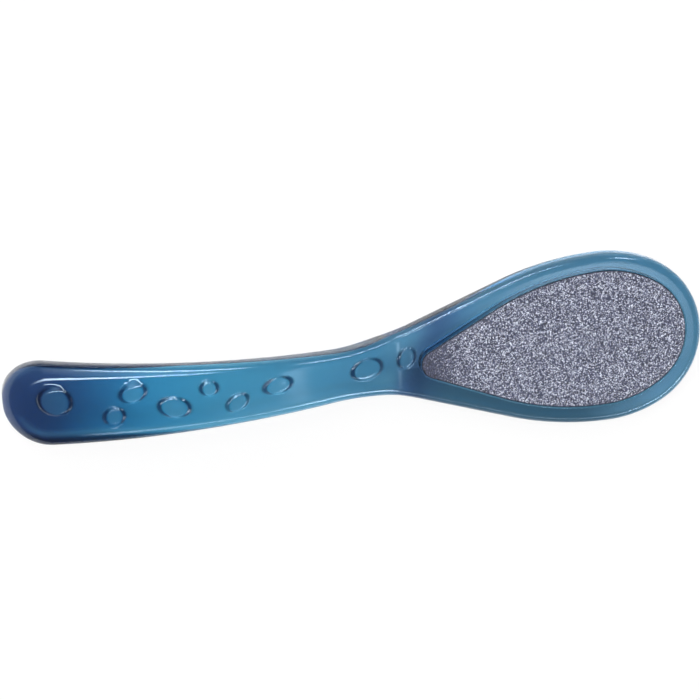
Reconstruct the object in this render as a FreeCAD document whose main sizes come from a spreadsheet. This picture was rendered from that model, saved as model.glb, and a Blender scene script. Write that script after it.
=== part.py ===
import FreeCAD, Part
import math
import os

import Sketcher

# A foot file: one moulded see-through paddle with a drop-shaped abrasive pad glued into a
# seat on each face of its head. The shape is drawn with the head lying level, X along the
# handle toward the head, and every piece then takes the same small turn, so that the file
# stands as it rests on a table: on the underside of its handle end and the tip of its head.

doc = FreeCAD.newDocument("foot_file")

# Driving sizes in millimetres and degrees.
SIZES = {
    "head_end": 43.5,
    "head_width": 57.0,
    "head_thick": 8.0,
    "nose_radius": 27.0,
    "shoulder_radius": 40.5,
    "flank_radius": 100.0,
    "neck_place": 77.5,
    "neck_width": 16.4,
    "neck_radius": 76.0,
    "handle_end": 186.5,
    "handle_width": 27.6,
    "handle_thick": 9.4,
    "arch_place": 110.0,
    "arch_height": 8.5,
    "arch_radius": 136.0,
    "bend_radius": 20.0,
    "edge_round": 3.7,
    "seat_depth": 1.5,
    "seat_tip": 51.0,
    "seat_tip_radius": 5.0,
    "seat_nose": 38.3,
    "seat_nose_radius": 20.2,
    "seat_shoulder_radius": 34.8,
    "seat_flank_radius": 83.6,
    "seat_width": 45.8,
    "seat_turn": 1.6,
    "seat_lip": 0.4,
    "pad_gap": 0.4,
    "film_thick": 0.15,
    "sheet_thick": 0.55,
    "coarse_thick": 0.6,
    "fine_thick": 0.4,
    "rest_tilt": 3.33,
    "rest_lift": 5.9,
    "rest_shift": 71.771,
}

sheet = doc.addObject("Spreadsheet::Sheet", "Sizes")
for row, (name, value) in enumerate(SIZES.items(), start=1):
    sheet.set(f"A{row}", name)
    sheet.set(f"B{row}", str(value))
    sheet.setAlias(f"B{row}", name)
doc.recompute()


def size(name):
    """The value of one driving size."""
    return SIZES[name]


def origin_plane(body, role):
    """One of the body's own origin planes, by its role name."""
    for feature in body.Origin.OriginFeatures:
        if feature.Role == role:
            return feature
    raise RuntimeError("no plane " + role)


def new_body(name):
    """An empty body that carries the label of its piece."""
    body = doc.addObject("PartDesign::Body", name)
    body.Label = name
    return body


def new_sketch(body, name, role):
    """A sketch on one of the body's origin planes."""
    sketch = body.newObject("Sketcher::SketchObject", name)
    sketch.AttachmentSupport = [(origin_plane(body, role), "")]
    sketch.MapMode = "FlatFace"
    return sketch


def arc(centre_x, centre_y, radius, start, end):
    """A circular arc from the start angle round to the end angle, in radians."""
    circle = Part.Circle(FreeCAD.Vector(centre_x, centre_y, 0), FreeCAD.Vector(0, 0, 1), radius)
    return Part.ArcOfCircle(circle, start, end)


def line(start, end):
    """A straight line between two points in the sketch."""
    return Part.LineSegment(FreeCAD.Vector(*start, 0), FreeCAD.Vector(*end, 0))


def along(centre, radius, angle):
    """The point of a circle at an angle."""
    return (centre[0] + radius * math.cos(angle), centre[1] + radius * math.sin(angle))


def drive(sketch, kind, geometry, value, formula):
    """Add a sized constraint whose value follows a formula of the sheet."""
    index = sketch.addConstraint(Sketcher.Constraint(kind, *geometry, value))
    sketch.setExpression(f"Constraints[{index}]", formula)


def join(sketch, first, first_end, second, second_end):
    """Let two curves meet end to end and run smoothly into each other."""
    sketch.addConstraint(Sketcher.Constraint("Tangent", first, first_end, second, second_end))


START, END, CENTRE = 1, 2, 3
ORIGIN = (-1, 1)
X_AXIS = -1


def sided_arc(centre, radius, start, end, side):
    """An arc of the upper half outline, or its mirror image in the lower half."""
    if side > 0:
        return arc(centre[0], centre[1], radius, start, end)
    return arc(centre[0], -centre[1], radius, -end, -start)


def first_end(side):
    """The end of a sided arc that lies at its start angle."""
    return START if side > 0 else END


def last_end(side):
    """The end of a sided arc that lies at its end angle."""
    return END if side > 0 else START


def from_origin(sketch, kind, geometry, point, offset, formula, sign):
    """Place a point at a distance from the origin, on the side the sign gives."""
    if sign > 0:
        drive(sketch, kind, (*ORIGIN, geometry, point), offset, formula)
    else:
        drive(sketch, kind, (geometry, point, *ORIGIN), offset, formula)


def oval_centres(end, half_width, nose, shoulder, flank):
    """Centres of the nose, shoulder and flank arcs of a blunt oval and the angle where
    the nose arc passes into the shoulder arc."""
    nose_centre = (end - nose, 0.0)
    reach = math.sqrt((shoulder - nose) ** 2 - (shoulder - half_width) ** 2)
    shoulder_centre = (nose_centre[0] - reach, half_width - shoulder)
    flank_centre = (shoulder_centre[0], half_width - flank)
    nose_angle = math.atan2(-shoulder_centre[1], reach)
    return nose_centre, shoulder_centre, flank_centre, nose_angle


def draw_oval_front(sketch, keys, gap, gap_formula, flank_angle):
    """Draw the nose, the two shoulders and the two flanks of a blunt oval and return the
    flank arcs by side. The gap shrinks the whole oval inward."""
    end_key, width_key, nose_key, shoulder_key, flank_key = keys
    half_width = size(width_key) / 2 - gap
    nose, shoulder, flank = (size(key) - gap for key in (nose_key, shoulder_key, flank_key))
    end = size(end_key) - gap
    centres = oval_centres(end, half_width, nose, shoulder, flank)
    nose_centre, shoulder_centre, flank_centre, nose_angle = centres

    nose_arc = sketch.addGeometry(arc(*nose_centre, nose, -nose_angle, nose_angle))
    sketch.addConstraint(Sketcher.Constraint("PointOnObject", nose_arc, CENTRE, X_AXIS))
    drive(sketch, "Radius", (nose_arc,), nose, f"Sizes.{nose_key} - {gap_formula}")
    from_origin(sketch, "DistanceX", nose_arc, CENTRE, end - nose,
                f"Sizes.{end_key} - Sizes.{nose_key}", 1)

    flanks = {}
    for side in (1, -1):
        shoulder_arc = sketch.addGeometry(
            sided_arc(shoulder_centre, shoulder, nose_angle, math.pi / 2, side))
        flank_arc = sketch.addGeometry(
            sided_arc(flank_centre, flank, math.pi / 2, flank_angle, side))
        join(sketch, nose_arc, last_end(side), shoulder_arc, first_end(side))
        drive(sketch, "Radius", (shoulder_arc,), shoulder, f"Sizes.{shoulder_key} - {gap_formula}")
        sketch.addConstraint(
            Sketcher.Constraint("Vertical", shoulder_arc, CENTRE, shoulder_arc, last_end(side)))
        from_origin(sketch, "DistanceY", shoulder_arc, last_end(side), half_width,
                    f"Sizes.{width_key} / 2 - {gap_formula}", side)
        join(sketch, shoulder_arc, last_end(side), flank_arc, first_end(side))
        drive(sketch, "Radius", (flank_arc,), flank, f"Sizes.{flank_key} - {gap_formula}")
        flanks[side] = flank_arc
    return flanks


HEAD_KEYS = ("head_end", "head_width", "nose_radius", "shoulder_radius", "flank_radius")
SEAT_KEYS = ("seat_nose", "seat_width", "seat_nose_radius", "seat_shoulder_radius",
             "seat_flank_radius")


def draw_drop(sketch, gap, gap_formula):
    """Draw the drop outline of a pad seat: a blunt oval drawn out to a rounded tip."""
    flank = size("seat_flank_radius") - gap
    tip = size("seat_tip_radius") - gap
    flank_centre = oval_centres(size("seat_nose") - gap, size("seat_width") / 2 - gap,
                                size("seat_nose_radius") - gap,
                                size("seat_shoulder_radius") - gap, flank)[2]
    tip_centre = (size("seat_tip_radius") - size("seat_tip"), 0.0)
    step_x = tip_centre[0] - flank_centre[0]
    step_y = tip_centre[1] - flank_centre[1]
    spread = math.acos((flank - tip) / math.hypot(step_x, step_y))
    flank_angle = math.atan2(step_y, step_x) - spread

    flanks = draw_oval_front(sketch, SEAT_KEYS, gap, gap_formula, flank_angle)
    tip_arc = sketch.addGeometry(arc(*tip_centre, tip, flank_angle, 2 * math.pi - flank_angle))
    sketch.addConstraint(Sketcher.Constraint("PointOnObject", tip_arc, CENTRE, X_AXIS))
    drive(sketch, "Radius", (tip_arc,), tip, f"Sizes.seat_tip_radius - {gap_formula}")
    from_origin(sketch, "DistanceX", tip_arc, CENTRE, -tip_centre[0],
                "Sizes.seat_tip - Sizes.seat_tip_radius", -1)
    for side in (1, -1):
        flank_end = along(flank_centre, flank, flank_angle)
        tip_start = along(tip_centre, tip, flank_angle)
        edge = sketch.addGeometry(line((flank_end[0], side * flank_end[1]),
                                       (tip_start[0], side * tip_start[1])))
        join(sketch, flanks[side], last_end(side), edge, START)
        join(sketch, edge, END, tip_arc, first_end(side))


def draw_paddle(sketch):
    """Draw the outline of the whole paddle seen from above: the oval head runs along two
    straight flanks into the hollow of the neck and on into the widening handle."""
    end_radius = size("handle_width") / 2
    neck = size("neck_radius")
    flank = size("flank_radius")
    flank_centre = oval_centres(size("head_end"), size("head_width") / 2, size("nose_radius"),
                                size("shoulder_radius"), flank)[2]
    neck_centre = (-size("neck_place"), size("neck_width") / 2 + neck)
    end_centre = (end_radius - size("handle_end"), 0.0)

    step_x = neck_centre[0] - flank_centre[0]
    step_y = neck_centre[1] - flank_centre[1]
    spread = math.acos((flank + neck) / math.hypot(step_x, step_y))
    flank_angle = math.atan2(step_y, step_x) - spread
    step_x = neck_centre[0] - end_centre[0]
    step_y = neck_centre[1] - end_centre[1]
    spread = math.acos((end_radius + neck) / math.hypot(step_x, step_y))
    handle_angle = math.atan2(step_y, step_x) + spread

    flanks = draw_oval_front(sketch, HEAD_KEYS, 0.0, "0", flank_angle)
    end_arc = sketch.addGeometry(
        arc(*end_centre, end_radius, handle_angle, 2 * math.pi - handle_angle))
    sketch.addConstraint(Sketcher.Constraint("PointOnObject", end_arc, CENTRE, X_AXIS))
    drive(sketch, "Radius", (end_arc,), end_radius, "Sizes.handle_width / 2")
    from_origin(sketch, "DistanceX", end_arc, CENTRE, -end_centre[0],
                "Sizes.handle_end - Sizes.handle_width / 2", -1)
    for side in (1, -1):
        flank_end = along(flank_centre, flank, flank_angle)
        neck_front = along(neck_centre, neck, flank_angle + math.pi)
        neck_back = along(neck_centre, neck, handle_angle + math.pi)
        end_start = along(end_centre, end_radius, handle_angle)
        flank_edge = sketch.addGeometry(line((flank_end[0], side * flank_end[1]),
                                             (neck_front[0], side * neck_front[1])))
        neck_arc = sketch.addGeometry(sided_arc(neck_centre, neck, handle_angle + math.pi,
                                                flank_angle + math.pi, side))
        handle_edge = sketch.addGeometry(line((neck_back[0], side * neck_back[1]),
                                              (end_start[0], side * end_start[1])))
        drive(sketch, "Radius", (neck_arc,), neck, "Sizes.neck_radius")
        from_origin(sketch, "DistanceX", neck_arc, CENTRE, size("neck_place"),
                    "Sizes.neck_place", -1)
        from_origin(sketch, "DistanceY", neck_arc, CENTRE, neck_centre[1],
                    "Sizes.neck_width / 2 + Sizes.neck_radius", side)
        join(sketch, flanks[side], last_end(side), flank_edge, START)
        join(sketch, flank_edge, END, neck_arc, last_end(side))
        join(sketch, neck_arc, first_end(side), handle_edge, START)
        join(sketch, handle_edge, END, end_arc, first_end(side))


def draw_side_view(sketch, spare):
    """Draw the paddle seen from the side: a level head, a short bend at the neck and a
    handle arched on one centre, a little longer at both ends than the paddle."""
    half_head = size("head_thick") / 2
    half_handle = size("handle_thick") / 2
    arch_centre = (-size("arch_place"), size("arch_height") - size("arch_radius"))
    front_x = size("head_end") + spare
    back_x = -size("handle_end") - spare
    lines = {}
    arches = {}
    corners = {}
    for face in (1, -1):
        bend = size("bend_radius") - face * half_head
        arch = size("arch_radius") + face * half_handle
        bend_height = face * half_head + bend
        rise = bend_height - arch_centre[1]
        bend_x = arch_centre[0] + math.sqrt((arch + bend) ** 2 - rise ** 2)
        meet_angle = math.atan2(rise, bend_x - arch_centre[0])
        back_angle = math.acos((back_x - arch_centre[0]) / arch)
        corners[face] = along(arch_centre, arch, back_angle)

        head_line = sketch.addGeometry(line((front_x, face * half_head),
                                            (bend_x, face * half_head)))
        bend_arc = sketch.addGeometry(arc(bend_x, bend_height, bend, meet_angle + math.pi,
                                          1.5 * math.pi))
        arch_arc = sketch.addGeometry(arc(*arch_centre, arch, meet_angle, back_angle))
        sketch.addConstraint(Sketcher.Constraint("Horizontal", head_line))
        from_origin(sketch, "DistanceY", head_line, START, half_head, "Sizes.head_thick / 2", face)
        join(sketch, head_line, END, bend_arc, END)
        join(sketch, bend_arc, START, arch_arc, START)
        sign = "-" if face > 0 else "+"
        drive(sketch, "Radius", (bend_arc,), bend,
              f"Sizes.bend_radius {sign} Sizes.head_thick / 2")
        sign = "+" if face > 0 else "-"
        drive(sketch, "Radius", (arch_arc,), arch,
              f"Sizes.arch_radius {sign} Sizes.handle_thick / 2")
        from_origin(sketch, "DistanceX", arch_arc, CENTRE, size("arch_place"),
                    "Sizes.arch_place", -1)
        from_origin(sketch, "DistanceY", arch_arc, CENTRE, -arch_centre[1],
                    "Sizes.arch_radius - Sizes.arch_height", -1)
        lines[face] = head_line
        arches[face] = arch_arc
    front = sketch.addGeometry(line((front_x, -half_head), (front_x, half_head)))
    back = sketch.addGeometry(line(corners[1], corners[-1]))
    for upright in (front, back):
        sketch.addConstraint(Sketcher.Constraint("Vertical", upright))
    sketch.addConstraint(Sketcher.Constraint("Coincident", front, START, lines[-1], START))
    sketch.addConstraint(Sketcher.Constraint("Coincident", front, END, lines[1], START))
    sketch.addConstraint(Sketcher.Constraint("Coincident", back, START, arches[1], END))
    sketch.addConstraint(Sketcher.Constraint("Coincident", back, END, arches[-1], END))
    from_origin(sketch, "DistanceX", front, START, front_x, f"Sizes.head_end + {spare}", 1)
    from_origin(sketch, "DistanceX", back, START, -back_x, f"Sizes.handle_end + {spare}", -1)


def draw_frame(sketch, spare):
    """Draw a rectangle that goes round the whole paddle with room to spare."""
    right = size("head_end") + spare
    left = -size("handle_end") - spare
    top = size("head_width") / 2 + spare
    corners = [(right, -top), (right, top), (left, top), (left, -top)]
    sides = []
    for index in range(4):
        sides.append(sketch.addGeometry(line(corners[index], corners[(index + 1) % 4])))
    for index in range(4):
        following = sides[(index + 1) % 4]
        sketch.addConstraint(Sketcher.Constraint("Coincident", sides[index], END, following, START))
    for index, kind in enumerate(("Vertical", "Horizontal", "Vertical", "Horizontal")):
        sketch.addConstraint(Sketcher.Constraint(kind, sides[index]))
    width_formula = f"Sizes.head_width / 2 + {spare}"
    from_origin(sketch, "DistanceX", sides[0], START, right, f"Sizes.head_end + {spare}", 1)
    from_origin(sketch, "DistanceX", sides[2], START, -left, f"Sizes.handle_end + {spare}", -1)
    from_origin(sketch, "DistanceY", sides[0], END, top, width_formula, 1)
    from_origin(sketch, "DistanceY", sides[0], START, top, width_formula, -1)


def place_drop(sketch, height, height_formula):
    """Lift a drop sketch to its level and turn it as the pad sits in the head."""
    turn = FreeCAD.Rotation(FreeCAD.Vector(0, 0, 1), size("seat_turn"))
    sketch.AttachmentOffset = FreeCAD.Placement(FreeCAD.Vector(0, 0, height), turn)
    sketch.setExpression("AttachmentOffset.Base.z", height_formula)
    sketch.setExpression("AttachmentOffset.Rotation.Angle", "Sizes.seat_turn")


def is_rounded(edge):
    """True for an edge where the side wall meets the front or back face. The seams of the
    wall stand upright and the seams of the faces run straight across the paddle."""
    if not isinstance(edge.Curve, Part.Line):
        return True
    direction = edge.Curve.Direction
    return abs(direction.x) > 0.05


# The moulded paddle. The side view is drawn out across the width, everything outside the
# outline is cut away, and both faces are rounded over into the wall.
SPARE = 4.0
paddle = new_body("handle_paddle")
side_view = new_sketch(paddle, "paddle_side_view", "XZ_Plane")
draw_side_view(side_view, SPARE)
slab = paddle.newObject("PartDesign::Pad", "paddle_slab")
slab.Profile = side_view
slab.Length = size("head_width") + SPARE
slab.setExpression("Length", f"Sizes.head_width + {SPARE}")
slab.Midplane = True
doc.recompute()

outline = new_sketch(paddle, "paddle_outline", "XY_Plane")
draw_paddle(outline)
draw_frame(outline, 2 * SPARE)
trim = paddle.newObject("PartDesign::Pocket", "paddle_trim")
trim.Profile = outline
trim.Type = "ThroughAll"
trim.Midplane = True
doc.recompute()

rounding = paddle.newObject("PartDesign::Fillet", "paddle_rounding")
rounded_edges = []
for number, edge in enumerate(trim.Shape.Edges, start=1):
    if is_rounded(edge):
        rounded_edges.append(f"Edge{number}")
rounding.Base = (trim, rounded_edges)
rounding.Radius = size("edge_round")
rounding.setExpression("Radius", "Sizes.edge_round")
doc.recompute()

# A seat for a pad is sunk into each face of the head, and its brim is eased to a small lip.
seat_cut = rounding
for face in (1, -1):
    side_name = "front" if face > 0 else "back"
    sign = "" if face > 0 else "-"
    seat_sketch = new_sketch(paddle, side_name + "_seat_outline", "XY_Plane")
    place_drop(seat_sketch, face * size("head_thick") / 2, f"{sign}Sizes.head_thick / 2")
    draw_drop(seat_sketch, 0.0, "0")
    seat_cut = paddle.newObject("PartDesign::Pocket", side_name + "_seat")
    seat_cut.Profile = seat_sketch
    seat_cut.Length = size("seat_depth")
    seat_cut.setExpression("Length", "Sizes.seat_depth")
    seat_cut.Reversed = face < 0
    doc.recompute()


def is_brim(edge, walls):
    """True for an edge that runs along the top of a seat wall."""
    middle = edge.valueAt((edge.FirstParameter + edge.LastParameter) / 2)
    if abs(abs(middle.z) - size("head_thick") / 2) > 0.01 or edge.BoundBox.ZLength > 0.01:
        return False
    return any(edge.isSame(other) for wall in walls for other in wall.Edges)


seat_walls = []
for wall in seat_cut.Shape.Faces:
    if abs(wall.BoundBox.ZLength - size("seat_depth")) < 0.01:
        seat_walls.append(wall)
brim_edges = []
for number, edge in enumerate(seat_cut.Shape.Edges, start=1):
    if is_brim(edge, seat_walls):
        brim_edges.append(f"Edge{number}")
lips = paddle.newObject("PartDesign::Chamfer", "seat_lips")
lips.Base = (seat_cut, brim_edges)
lips.Size = size("seat_lip")
lips.setExpression("Size", "Sizes.seat_lip")
doc.recompute()

# The two places the file rests on, under the handle end and under the end of the head, are
# dressed flat, so that it lies still on a table.
foot_sketch = new_sketch(paddle, "table_outline", "XY_Plane")
table_turn = FreeCAD.Rotation(FreeCAD.Vector(0, -1, 0), size("rest_tilt"))
table_height = -size("rest_lift") / math.cos(math.radians(size("rest_tilt")))
foot_sketch.AttachmentOffset = FreeCAD.Placement(FreeCAD.Vector(0, 0, table_height), table_turn)
foot_sketch.setExpression("AttachmentOffset.Base.z", "-Sizes.rest_lift / cos(Sizes.rest_tilt)")
foot_sketch.setExpression("AttachmentOffset.Rotation.Angle", "Sizes.rest_tilt")
draw_frame(foot_sketch, 2 * SPARE)
feet = paddle.newObject("PartDesign::Pocket", "resting_flats")
feet.Profile = foot_sketch
feet.Type = "ThroughAll"
doc.recompute()

# Raised drops like spilled water on the front of the handle and neck, each a flat dome.
# Place along the handle, place across it, length, width and turn of each drop.
DROPS = [
    (170.0, 2.0, 11.4, 10.2, 0.0),
    (152.0, -3.4, 7.6, 6.4, 25.0),
    (145.5, 4.0, 9.6, 6.6, 20.0),
    (133.0, -1.6, 11.0, 7.4, -12.0),
    (121.5, 3.6, 6.4, 5.6, 0.0),
    (113.0, -2.2, 8.6, 5.8, 30.0),
    (99.5, 1.6, 10.4, 6.0, 10.0),
    (69.5, 1.3, 11.6, 7.6, 4.0),
]
DROP_HEIGHT = 1.0
DROP_ROUND = 2.6
DROP_SINK = DROP_ROUND - DROP_HEIGHT
DROP_SPREAD = math.sqrt(1 - (DROP_SINK / DROP_ROUND) ** 2)
TOP_RADIUS_FORMULA = "(Sizes.arch_radius + Sizes.handle_thick / 2)"
for number, (place, across, length, width, turn) in enumerate(DROPS, start=1):
    drop = paddle.newObject("PartDesign::AdditiveEllipsoid", f"raised_drop_{number}")
    drop.Radius1 = DROP_ROUND
    drop.Radius2 = length / 2 / DROP_SPREAD
    drop.Radius3 = width / 2 / DROP_SPREAD
    top_radius = size("arch_radius") + size("handle_thick") / 2
    from_apex = size("arch_place") - place
    lean = FreeCAD.Rotation(FreeCAD.Vector(0, 1, 0), math.degrees(math.asin(from_apex / top_radius)))
    spin = FreeCAD.Rotation(FreeCAD.Vector(0, 0, 1), turn)
    drop.Placement = FreeCAD.Placement(FreeCAD.Vector(-place, across, 0), lean.multiply(spin))
    drop.setExpression("Placement.Base.z",
                       f"Sizes.arch_height - Sizes.arch_radius - {DROP_SINK} + "
                       f"sqrt({TOP_RADIUS_FORMULA} ^ 2 - (Sizes.arch_place - {place}) ^ 2)")
    doc.recompute()

# The last drop sits on the level of the neck just behind the tip of the pad seat.
tip_drop = paddle.newObject("PartDesign::AdditiveEllipsoid", "raised_drop_at_tip")
tip_drop.Radius1 = DROP_ROUND
tip_drop.Radius2 = 4.0 / DROP_SPREAD
tip_drop.Radius3 = 3.0 / DROP_SPREAD
tip_drop.Placement = FreeCAD.Placement(FreeCAD.Vector(-55.8, 2.4, 0),
                                       FreeCAD.Rotation(FreeCAD.Vector(0, 0, 1), 60))
tip_drop.setExpression("Placement.Base.z", f"Sizes.head_thick / 2 - {DROP_SINK}")
doc.recompute()

# Each pad is a sandwich in its seat: a film of glue on the floor of the seat, the stiff sheet
# on the film and the grit on the sheet. The front grit is coarse and the back grit is fine.
pieces = [paddle]
for face, side_name, grit_key in ((1, "front", "coarse_thick"), (-1, "back", "fine_thick")):
    sign = "" if face > 0 else "-"
    height = size("head_thick") / 2 - size("seat_depth")
    height_formula = "Sizes.head_thick / 2 - Sizes.seat_depth"
    layers = (("adhesive_film", "film_thick"), ("backing_sheet", "sheet_thick"),
              ("grit_coat", grit_key))
    for layer, thick_key in layers:
        body = new_body(f"{side_name}_{layer}")
        sketch = new_sketch(body, f"{side_name}_{layer}_outline", "XY_Plane")
        place_drop(sketch, face * height, f"{sign}({height_formula})")
        draw_drop(sketch, size("pad_gap"), "Sizes.pad_gap")
        pad = body.newObject("PartDesign::Pad", f"{side_name}_{layer}_pad")
        pad.Profile = sketch
        pad.Length = size(thick_key)
        pad.setExpression("Length", f"Sizes.{thick_key}")
        pad.Reversed = face < 0
        doc.recompute()
        height += size(thick_key)
        height_formula += f" + Sizes.{thick_key}"
        pieces.append(body)

# Every piece takes the same turn and lift, from the level head to the pose at rest.
for body in pieces:
    rest_turn = FreeCAD.Rotation(FreeCAD.Vector(0, 1, 0), size("rest_tilt"))
    body.Placement = FreeCAD.Placement(
        FreeCAD.Vector(size("rest_shift"), 0, size("rest_lift")), rest_turn)
    body.setExpression("Placement.Base.x", "Sizes.rest_shift")
    body.setExpression("Placement.Base.z", "Sizes.rest_lift")
    body.setExpression("Placement.Rotation.Angle", "Sizes.rest_tilt")
doc.recompute()

for item in doc.Objects:
    if "Invalid" in item.State or "Error" in item.State:
        raise RuntimeError("feature failed: " + item.Label)
os.makedirs("parts", exist_ok=True)
for body in pieces:
    if body.Shape.isNull() or not body.Shape.isValid():
        raise RuntimeError("bad shape: " + body.Label)
    body.Shape.exportStep(f"parts/{body.Label}.step")
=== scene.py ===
import math

import bmesh
import bpy
import numpy as np
from mathutils import Matrix


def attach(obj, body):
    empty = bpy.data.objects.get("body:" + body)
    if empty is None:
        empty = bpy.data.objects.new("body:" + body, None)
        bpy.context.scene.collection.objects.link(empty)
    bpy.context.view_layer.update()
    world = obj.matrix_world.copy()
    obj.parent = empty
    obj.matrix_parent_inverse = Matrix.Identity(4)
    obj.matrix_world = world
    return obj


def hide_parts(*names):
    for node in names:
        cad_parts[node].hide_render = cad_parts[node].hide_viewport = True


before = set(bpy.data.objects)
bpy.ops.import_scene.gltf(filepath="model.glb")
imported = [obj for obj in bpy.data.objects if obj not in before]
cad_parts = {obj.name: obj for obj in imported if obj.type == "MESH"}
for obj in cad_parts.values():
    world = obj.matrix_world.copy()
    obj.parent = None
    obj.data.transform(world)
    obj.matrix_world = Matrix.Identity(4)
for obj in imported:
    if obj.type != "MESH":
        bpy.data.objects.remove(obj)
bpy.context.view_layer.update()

# The paddle is one injection moulding in clear blue plastic, polished in the mould. It has an arched
# handle, a narrow neck and a broad oval head, and both faces of the head are sunk to take a pad.
# Sizes are in millimetres with the head lying level; at rest the whole file leans on its two ends.
REST_TILT = math.radians(3.33)
REST_SHIFT = 71.645
REST_LIFT = 5.886
REST_END = -115.2
WORN_EASE = 0.3


def eased(run, stop):
    """A run held back from passing below a stop: the mean of the overrun and the root of its square
    plus a small square, so that the turn has no crease."""
    over = run - stop
    return stop + (over + np.sqrt(over * over + WORN_EASE ** 2)) / 2


def at_rest(x, y, z):
    """Level-head millimetres to metres at rest: a turn about Y by the rest tilt, then the lift and
    the shift. What would go under the table or past the end is worn flat."""
    lean, stand = math.sin(REST_TILT), math.cos(REST_TILT)
    row_x = eased(x * stand + z * lean + REST_SHIFT, REST_END)
    row_z = eased(z * stand - x * lean + REST_LIFT, 0.0)
    return np.stack([row_x, y + 0.0 * x, row_z], axis=-1) * 0.001


ARC_POINTS = 600


def arc_run(centre, radius, start, end, outward=1.0):
    """A dense run of points along a circle from one angle to another, with the unit normals that
    point out of the outline: away from the centre, or toward it on a hollow arc."""
    angle = np.linspace(start, end, ARC_POINTS)
    ray = np.stack([np.cos(angle), np.sin(angle)], axis=1)
    return np.asarray(centre) + radius * ray, outward * ray


def oval_centres(end, half_width, nose, shoulder, flank):
    """Centres of the nose, shoulder and flank circles of a blunt oval, each touching the next, and
    the angle at which the nose passes into the shoulder."""
    reach = math.sqrt((shoulder - nose) ** 2 - (shoulder - half_width) ** 2)
    nose_at = np.array([end - nose, 0.0])
    shoulder_at = np.array([end - nose - reach, half_width - shoulder])
    flank_at = np.array([end - nose - reach, half_width - flank])
    return nose_at, shoulder_at, flank_at, math.atan2(shoulder - half_width, reach)


def joined(runs):
    """Runs of points and normals laid end to end, with the length along them."""
    points = np.concatenate([run[0] for run in runs])
    normals = np.concatenate([run[1] for run in runs])
    length = np.concatenate([[0.0], np.cumsum(np.hypot(*np.diff(points, axis=0).T))])
    return points, normals, length


def along(length, values, places):
    """Values read off at places along a run, by straight interpolation."""
    return np.stack([np.interp(places, length, values[:, 0]),
                     np.interp(places, length, values[:, 1])], axis=1)


HEAD_OVAL = {"end": 43.5, "half_width": 28.5, "nose": 27.0, "shoulder": 40.5, "flank": 100.0}
BUTT_RADIUS = 13.8
BUTT_PLACE = BUTT_RADIUS - 186.5
NECK_PLACE = -77.5
NECK_HALF_WIDTH = 8.2
NECK_RADIUS = 76.0


def paddle_edge():
    """The upper half of the outline from the butt to the head end: the round butt, the straight
    taper, the hollow neck, the straight flank, and the flank, shoulder and nose arcs."""
    nose_at, shoulder_at, flank_at, nose_angle = oval_centres(**HEAD_OVAL)
    butt_at = np.array([BUTT_PLACE, 0.0])
    neck_at = np.array([NECK_PLACE, NECK_HALF_WIDTH + NECK_RADIUS])
    step = neck_at - flank_at
    lean = math.acos((HEAD_OVAL["flank"] + NECK_RADIUS) / math.hypot(*step))
    flank_angle = math.atan2(step[1], step[0]) - lean
    step = neck_at - butt_at
    lean = math.acos((BUTT_RADIUS + NECK_RADIUS) / math.hypot(*step))
    taper_angle = math.atan2(step[1], step[0]) + lean
    return joined([
        arc_run(butt_at, BUTT_RADIUS, math.pi, taper_angle),
        arc_run(neck_at, NECK_RADIUS, taper_angle + math.pi, flank_angle + math.pi, -1.0),
        arc_run(flank_at, HEAD_OVAL["flank"], flank_angle, math.pi / 2),
        arc_run(shoulder_at, HEAD_OVAL["shoulder"], math.pi / 2, nose_angle),
        arc_run(nose_at, HEAD_OVAL["nose"], nose_angle, 0.0),
    ])


SEAT_OVAL = {"end": 38.3, "half_width": 22.9, "nose": 20.2, "shoulder": 34.8, "flank": 83.6}
SEAT_TIP_RADIUS = 5.0
SEAT_TIP_PLACE = -46.0
SEAT_TURN = math.radians(1.6)
SEAT_DEPTH = 1.5
SEAT_LIP = 0.2


def seat_edge(spread):
    """The upper half of the drop-shaped seat from its tip to its nose, grown outward by a spread:
    the tip arc, the straight flank, and the flank, shoulder and nose arcs."""
    grown = {part: size + spread for part, size in SEAT_OVAL.items()}
    nose_at, shoulder_at, flank_at, nose_angle = oval_centres(**grown)
    tip_at, tip = np.array([SEAT_TIP_PLACE, 0.0]), SEAT_TIP_RADIUS + spread
    step = tip_at - flank_at
    flank_angle = math.atan2(step[1], step[0]) - math.acos((grown["flank"] - tip) / math.hypot(*step))
    return joined([
        arc_run(tip_at, tip, math.pi, flank_angle),
        arc_run(flank_at, grown["flank"], flank_angle, math.pi / 2),
        arc_run(shoulder_at, grown["shoulder"], math.pi / 2, nose_angle),
        arc_run(nose_at, grown["nose"], nose_angle, 0.0),
    ])


def turned(points):
    """Points of a seat turned in plan, as the seats sit in the head."""
    cosine, sine = math.cos(SEAT_TURN), math.sin(SEAT_TURN)
    x, y = points[..., 0], points[..., 1]
    return np.stack([x * cosine - y * sine, x * sine + y * cosine], axis=-1)


HALF_HEAD = 4.0
HALF_HANDLE = 4.7
ARCH_PLACE = -110.0
ARCH_HEIGHT = 8.5
ARCH_RADIUS = 136.0
BEND_RADIUS = 20.0


def face_height(x, face):
    """Height of the front or back face: level on the head, a short circular bend at the neck and one
    long circular arch down the handle."""
    bend = BEND_RADIUS - face * HALF_HEAD
    arch = ARCH_RADIUS + face * HALF_HANDLE
    bend_up = face * HALF_HEAD + bend
    arch_up = ARCH_HEIGHT - ARCH_RADIUS
    bend_x = ARCH_PLACE + math.sqrt((arch + bend) ** 2 - (bend_up - arch_up) ** 2)
    meet_x = ARCH_PLACE + (bend_x - ARCH_PLACE) * arch / (arch + bend)
    level = np.full_like(x, face * HALF_HEAD)
    bent = bend_up - np.sqrt(np.maximum(bend ** 2 - (x - bend_x) ** 2, 0.0))
    arched = arch_up + np.sqrt(np.maximum(arch ** 2 - (x - ARCH_PLACE) ** 2, 0.0))
    return np.where(x > bend_x, level, np.where(x > meet_x, bent, arched))


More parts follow.
